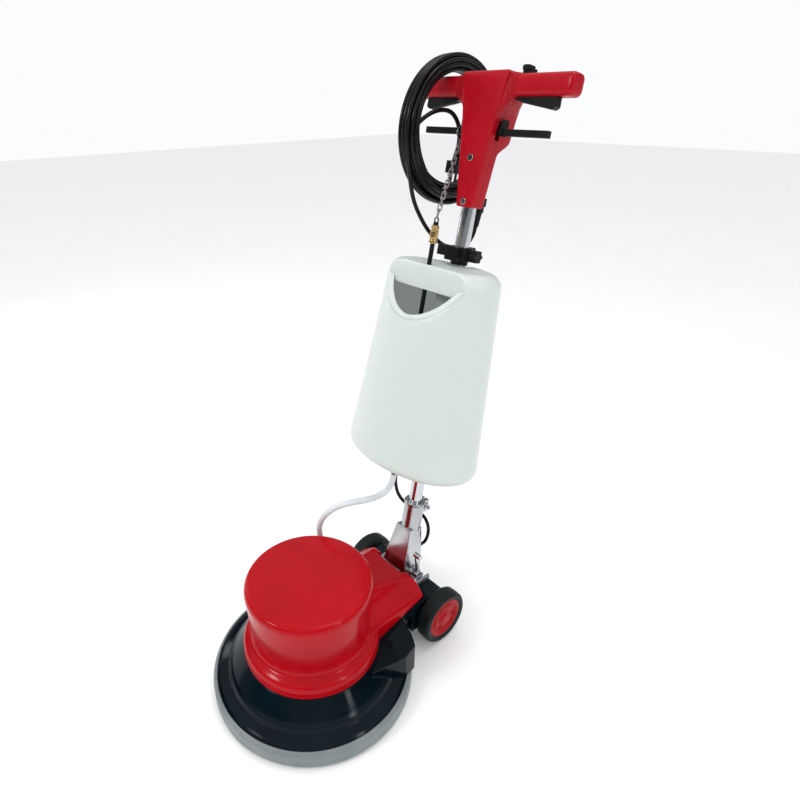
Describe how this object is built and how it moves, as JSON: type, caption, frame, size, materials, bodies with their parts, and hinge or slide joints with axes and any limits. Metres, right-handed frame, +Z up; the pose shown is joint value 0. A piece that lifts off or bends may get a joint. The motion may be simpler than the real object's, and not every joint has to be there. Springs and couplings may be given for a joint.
{
  "type": "rotary floor machine",
  "caption": "Single-disc rotary floor scrubber with a domed motor cover, transport wheels, tilting chrome handle tube, solution tank, twin-grip head and coiled mains cord.",
  "frame": {"origin": "centre of the scrubbing disc on the floor", "axes": "+Z up, +Y towards the operator's handle, +X to the operator's right-hand wheel seen from the front"},
  "size_m": [0.432, 0.8481, 1.2326],
  "materials": {
    "deck": "gloss",
    "cover": "gloss",
    "bumper": "matte",
    "cast": "cast",
    "steel": "satin",
    "chrome": "polished",
    "copper": "varnished winding",
    "black_plastic": "matte",
    "tank_plastic": "translucent natural polyethylene",
    "red_plastic": "satin",
    "tyre": "matte",
    "pad": "fibre pad",
    "cable": "matte",
    "hose": "satin silicone",
    "brass": "polished",
    "capacitor": "satin"
  },
  "bodies": {
    "base": {"deck": "deck", "bumper_ring": "bumper", "motor_cover": "cover", "gearbox_housing": "cast", "ring_gear": "steel", "output_bearing": "steel", "lower_end_bell": "cast", "rotor_bearings": "steel", "stator_core": "steel", "stator_winding": "copper", "motor_shell": "cast", "upper_end_bell": "cast", "capacitors": "capacitor", "hinge_bracket": "cast", "hinge_pin": "steel", "wheel_axle": "steel", "hose_fitting": "black_plastic"},
    "brush": {"floor_pad": "pad", "pad_driver": "black_plastic", "drive_plate": "steel", "planet_carrier": "steel", "planet_pins": "steel"},
    "rotor": {"rotor_shaft": "steel", "rotor_core": "steel", "cooling_fan": "black_plastic"},
    "planet_1": {"planet_gear_1": "steel"},
    "planet_2": {"planet_gear_2": "steel"},
    "planet_3": {"planet_gear_3": "steel"},
    "wheel_left": {"tyre_left": "tyre", "wheel_hub_left": "red_plastic"},
    "wheel_right": {"tyre_right": "tyre", "wheel_hub_right": "red_plastic"},
    "mast": {"hinge_casting": "chrome", "handle_tube": "chrome", "sleeve_bolt": "steel", "solution_tank": "tank_plastic", "tank_outlet": "black_plastic", "tank_clamp": "black_plastic", "cable_clip": "black_plastic", "handle_front": "red_plastic", "handle_rear": "red_plastic", "housing_screws": "chrome", "switch_block": "black_plastic", "trigger_springs": "steel", "cord_gland": "black_plastic", "cord_lead": "cable", "cord_coil": "cable", "cord_tail": "cable", "mains_plug": "black_plastic", "solution_hose": "hose", "motor_cable": "cable"},
    "tilt_lever": {"tilt_lever": "chrome"},
    "clamp_knob": {"clamp_knob": "black_plastic"},
    "valve_rod": {"valve_rod": "black_plastic", "lever_chain": "steel"},
    "water_lever": {"water_lever": "black_plastic"},
    "trigger_left": {"trigger_left": "black_plastic"},
    "trigger_right": {"trigger_right": "black_plastic"},
    "lock_button": {"lock_button": "black_plastic"}
  },
  "joints": [
    {"name": "brush_spin", "type": "hinge", "parent": "base", "child": "brush", "pos_m": [0, 0, 0.03], "axis": [0, 0, 1], "continuous": true},
    {"name": "rotor_spin", "type": "hinge", "parent": "base", "child": "rotor", "pos_m": [0, 0, 0.16], "axis": [0, 0, 1], "continuous": true},
    {"name": "planet_1_spin", "type": "hinge", "parent": "brush", "child": "planet_1", "pos_m": [0, 0.03375, 0.088], "axis": [0, 0, 1], "continuous": true},
    {"name": "planet_2_spin", "type": "hinge", "parent": "brush", "child": "planet_2", "pos_m": [-0.02923, -0.01688, 0.088], "axis": [0, 0, 1], "continuous": true},
    {"name": "planet_3_spin", "type": "hinge", "parent": "brush", "child": "planet_3", "pos_m": [0.02923, -0.01688, 0.088], "axis": [0, 0, 1], "continuous": true},
    {"name": "wheel_left_spin", "type": "hinge", "parent": "base", "child": "wheel_left", "pos_m": [-0.122, 0.275, 0.066], "axis": [1, 0, 0], "continuous": true},
    {"name": "wheel_right_spin", "type": "hinge", "parent": "base", "child": "wheel_right", "pos_m": [0.122, 0.275, 0.066], "axis": [1, 0, 0], "continuous": true},
    {"name": "handle_tilt", "type": "hinge", "parent": "base", "child": "mast", "pos_m": [0, 0.274, 0.131], "axis": [-1, 0, 0], "range_deg": [-10.8, 40], "deforming": ["solution_hose", "motor_cable"]},
    {"name": "tilt_lock_turn", "type": "hinge", "parent": "mast", "child": "tilt_lever", "pos_m": [0.047, 0.274, 0.131], "axis": [-1, 0, 0], "range_deg": [-20, 35]},
    {"name": "clamp_knob_turn", "type": "hinge", "parent": "mast", "child": "clamp_knob", "pos_m": [0.04, 0.41369, 0.8633], "axis": [1, 0, 0], "range_deg": [0, 180]},
    {"name": "water_lever_slide", "type": "slide", "parent": "mast", "child": "water_lever", "axis": [0, 0.1874, 0.9823], "range_m": [0, 0.01]},
    {"name": "valve_rod_slide", "type": "slide", "parent": "mast", "child": "valve_rod", "axis": [0, 0.1874, 0.9823], "range_m": [0, 0.01]},
    {"name": "trigger_left_squeeze", "type": "hinge", "parent": "mast", "child": "trigger_left", "pos_m": [-0.062, 0.46831, 1.14963], "axis": [0, 0.9823, -0.1874], "range_deg": [0, 5], "stiffness_Nm_per_rad": 1.2, "springref_deg": -2.86},
    {"name": "trigger_right_squeeze", "type": "hinge", "parent": "mast", "child": "trigger_right", "pos_m": [0.062, 0.46831, 1.14963], "axis": [0, -0.9823, 0.1874], "range_deg": [0, 5], "stiffness_Nm_per_rad": 1.2, "springref_deg": -2.86},
    {"name": "lock_button_press", "type": "slide", "parent": "mast", "child": "lock_button", "axis": [0, -0.1874, -0.9823], "range_m": [0, 0.004], "stiffness_N_per_m": 300, "springref_m": -0.002}
  ],
  "couplings": [
    {"joint": "rotor_spin", "follows": "brush_spin", "ratio": 8.3077},
    {"joint": "planet_1_spin", "follows": "brush_spin", "ratio": -2.3171},
    {"joint": "planet_2_spin", "follows": "brush_spin", "ratio": -2.3171},
    {"joint": "planet_3_spin", "follows": "brush_spin", "ratio": -2.3171},
    {"joint": "valve_rod_slide", "follows": "water_lever_slide", "ratio": 1}
  ]
}
